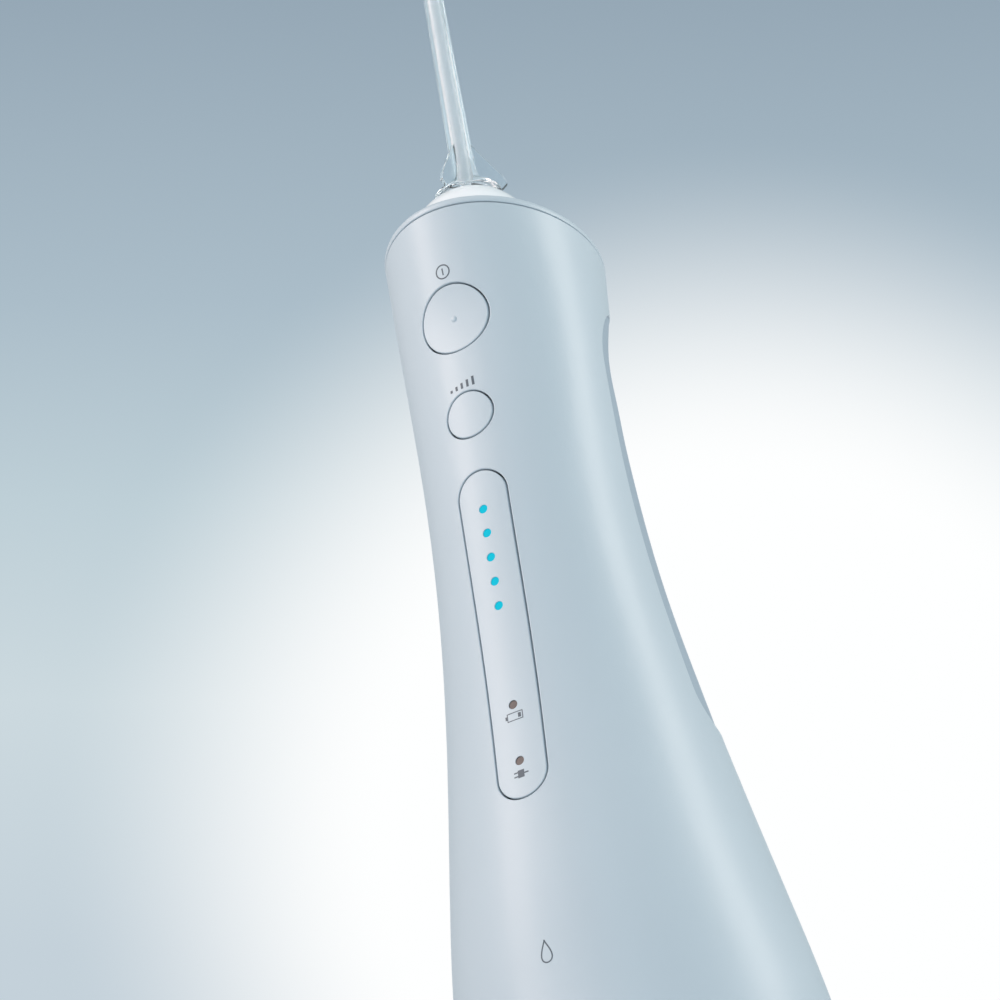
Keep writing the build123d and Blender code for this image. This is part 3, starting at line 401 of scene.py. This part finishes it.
GLOW_CENTRE, GLOW_FULL, GLOW_END = (0.65, 0.294), 0.219, 0.4375
FRAME_EDGE = 0.3125             # half the camera's view, as a share of the card
BACKDROP_TONES = (
    (0.219, (196, 209, 218)), (0.375, (204, 217, 223)), (0.5, (190, 207, 215)), (0.625, (171, 189, 201)),
    (0.8125, (150, 168, 182)),
)


def glow_shader(tree):
    """Grey-blue towards the top, with a white glow to the right and a fade into the sky at the border."""
    spot = tree.nodes.new("ShaderNodeUVMap")
    spot.uv_map = "card"
    parts = tree.nodes.new("ShaderNodeSeparateXYZ")
    tree.links.new(spot.outputs[0], parts.inputs[0])
    rise = tree.nodes.new("ShaderNodeValToRGB")
    stops = rise.color_ramp.elements
    stops[0].position, stops[0].color = BACKDROP_TONES[0][0], srgb(*BACKDROP_TONES[0][1])
    stops[1].position, stops[1].color = BACKDROP_TONES[-1][0], srgb(*BACKDROP_TONES[-1][1])
    for place, tone in BACKDROP_TONES[1:-1]:
        stops.new(place).color = srgb(*tone)
    tree.links.new(parts.outputs["Y"], rise.inputs[0])
    off = tree.nodes.new("ShaderNodeVectorMath")
    off.operation = "DISTANCE"
    off.inputs[1].default_value = (*GLOW_CENTRE, 0)
    tree.links.new(spot.outputs[0], off.inputs[0])
    fade = tree.nodes.new("ShaderNodeMapRange")
    fade.interpolation_type = "SMOOTHSTEP"
    fade.inputs["From Min"].default_value, fade.inputs["From Max"].default_value = GLOW_FULL, GLOW_END
    fade.inputs["To Min"].default_value, fade.inputs["To Max"].default_value = 1.0, 0.0
    tree.links.new(off.outputs["Value"], fade.inputs["Value"])
    blend = tree.nodes.new("ShaderNodeMix")
    blend.data_type = "RGBA"
    blend.inputs["B"].default_value = srgb(254, 255, 255)
    tree.links.new(fade.outputs["Result"], blend.inputs["Factor"])
    tree.links.new(rise.outputs[0], blend.inputs["A"])
    middle = tree.nodes.new("ShaderNodeVectorMath")
    middle.operation = "SUBTRACT"
    middle.inputs[1].default_value = (0.5, 0.5, 0)
    sides = tree.nodes.new("ShaderNodeVectorMath")
    sides.operation = "ABSOLUTE"
    split = tree.nodes.new("ShaderNodeSeparateXYZ")
    furthest = tree.nodes.new("ShaderNodeMath")
    furthest.operation = "MAXIMUM"
    tree.links.new(spot.outputs[0], middle.inputs[0])
    tree.links.new(middle.outputs["Vector"], sides.inputs[0])
    tree.links.new(sides.outputs["Vector"], split.inputs[0])
    tree.links.new(split.outputs["X"], furthest.inputs[0])
    tree.links.new(split.outputs["Y"], furthest.inputs[1])
    border = tree.nodes.new("ShaderNodeMapRange")
    border.interpolation_type = "SMOOTHSTEP"
    border.inputs["From Min"].default_value, border.inputs["From Max"].default_value = FRAME_EDGE, 0.5
    tree.links.new(furthest.outputs[0], border.inputs["Value"])
    soft = tree.nodes.new("ShaderNodeMix")
    soft.data_type = "RGBA"
    soft.inputs["B"].default_value = (*SKY, 1.0)
    tree.links.new(border.outputs["Result"], soft.inputs["Factor"])
    tree.links.new(blend.outputs["Result"], soft.inputs["A"])
    glow = tree.nodes.new("ShaderNodeEmission")
    tree.links.new(soft.outputs["Result"], glow.inputs["Color"])
    return glow.outputs[0]


BACKDROP_AWAY = 0.9
CARD_REACH = 1.6                # the card's size, as a multiple of the camera's view
half_view = (RANGE + BACKDROP_AWAY) * SENSOR / 2 / LENS
half_card = half_view * CARD_REACH
backdrop_glow = one_sided("backdrop_glow", glow_shader)
quad("backdrop", AIM - back * BACKDROP_AWAY, turned_right * half_card, turned_up * half_card, backdrop_glow)


def area_light(name, place, target, size, power, tint):
    """Rectangular soft box at place, turned to target."""
    lamp = bpy.data.lights.new(name, "AREA")
    lamp.shape = "RECTANGLE"
    lamp.size, lamp.size_y = size
    lamp.energy = power
    lamp.color = tint
    obj = bpy.data.objects.new(name, lamp)
    scene.collection.objects.link(obj)
    direction = Vector(place) - Vector(target)
    turned = direction.to_track_quat("Z", "Y").to_matrix().to_4x4()
    obj.matrix_world = Matrix.Translation(Vector(place)) @ turned


CHEST = Vector((0, -0.01, 0.12))
BOX_AWAY, BOX_SIZE = 0.95, (0.35, 0.9)
WARM, COOL, PLAIN = (1.0, 0.82, 0.75), (0.7, 0.9, 1.0), (1.0, 0.94, 0.88)
# Soft boxes: azimuth from the front towards +x and elevation in degrees, watts and tint.
BOXES = {
    "key_left": (-40, 33, 5.5, WARM),
    "front_fill": (-10, 33, 1.2, WARM),
    "cool_fill": (25, 10, 1.2, COOL),
    "rim_right": (110, 15, 5.3, PLAIN),
}
for name, (turn, rise, watts, tint) in BOXES.items():
    turn, rise = math.radians(turn), math.radians(rise)
    aim = Vector((math.sin(turn) * math.cos(rise), -math.cos(turn) * math.cos(rise), math.sin(rise)))
    area_light(name, CHEST + aim * BOX_AWAY, CHEST, BOX_SIZE, watts, tint)
world = bpy.data.worlds.new("world")
scene.world = world
world.use_nodes = True
studio = world.node_tree
sky = studio.nodes["Background"]
# Clear plastic bends a brighter studio into its edges than the body is lit by.
path = studio.nodes.new("ShaderNodeLightPath")
tone = studio.nodes.new("ShaderNodeMix")
tone.data_type = "RGBA"
tone.inputs["A"].default_value = (*SKY, 1.0)
tone.inputs["B"].default_value = (*BRIGHT_SKY, 1.0)
studio.links.new(path.outputs["Is Transmission Ray"], tone.inputs["Factor"])
studio.links.new(tone.outputs["Result"], sky.inputs["Color"])
sky.inputs["Strength"].default_value = 1.0
scene.view_settings.view_transform = "Standard"
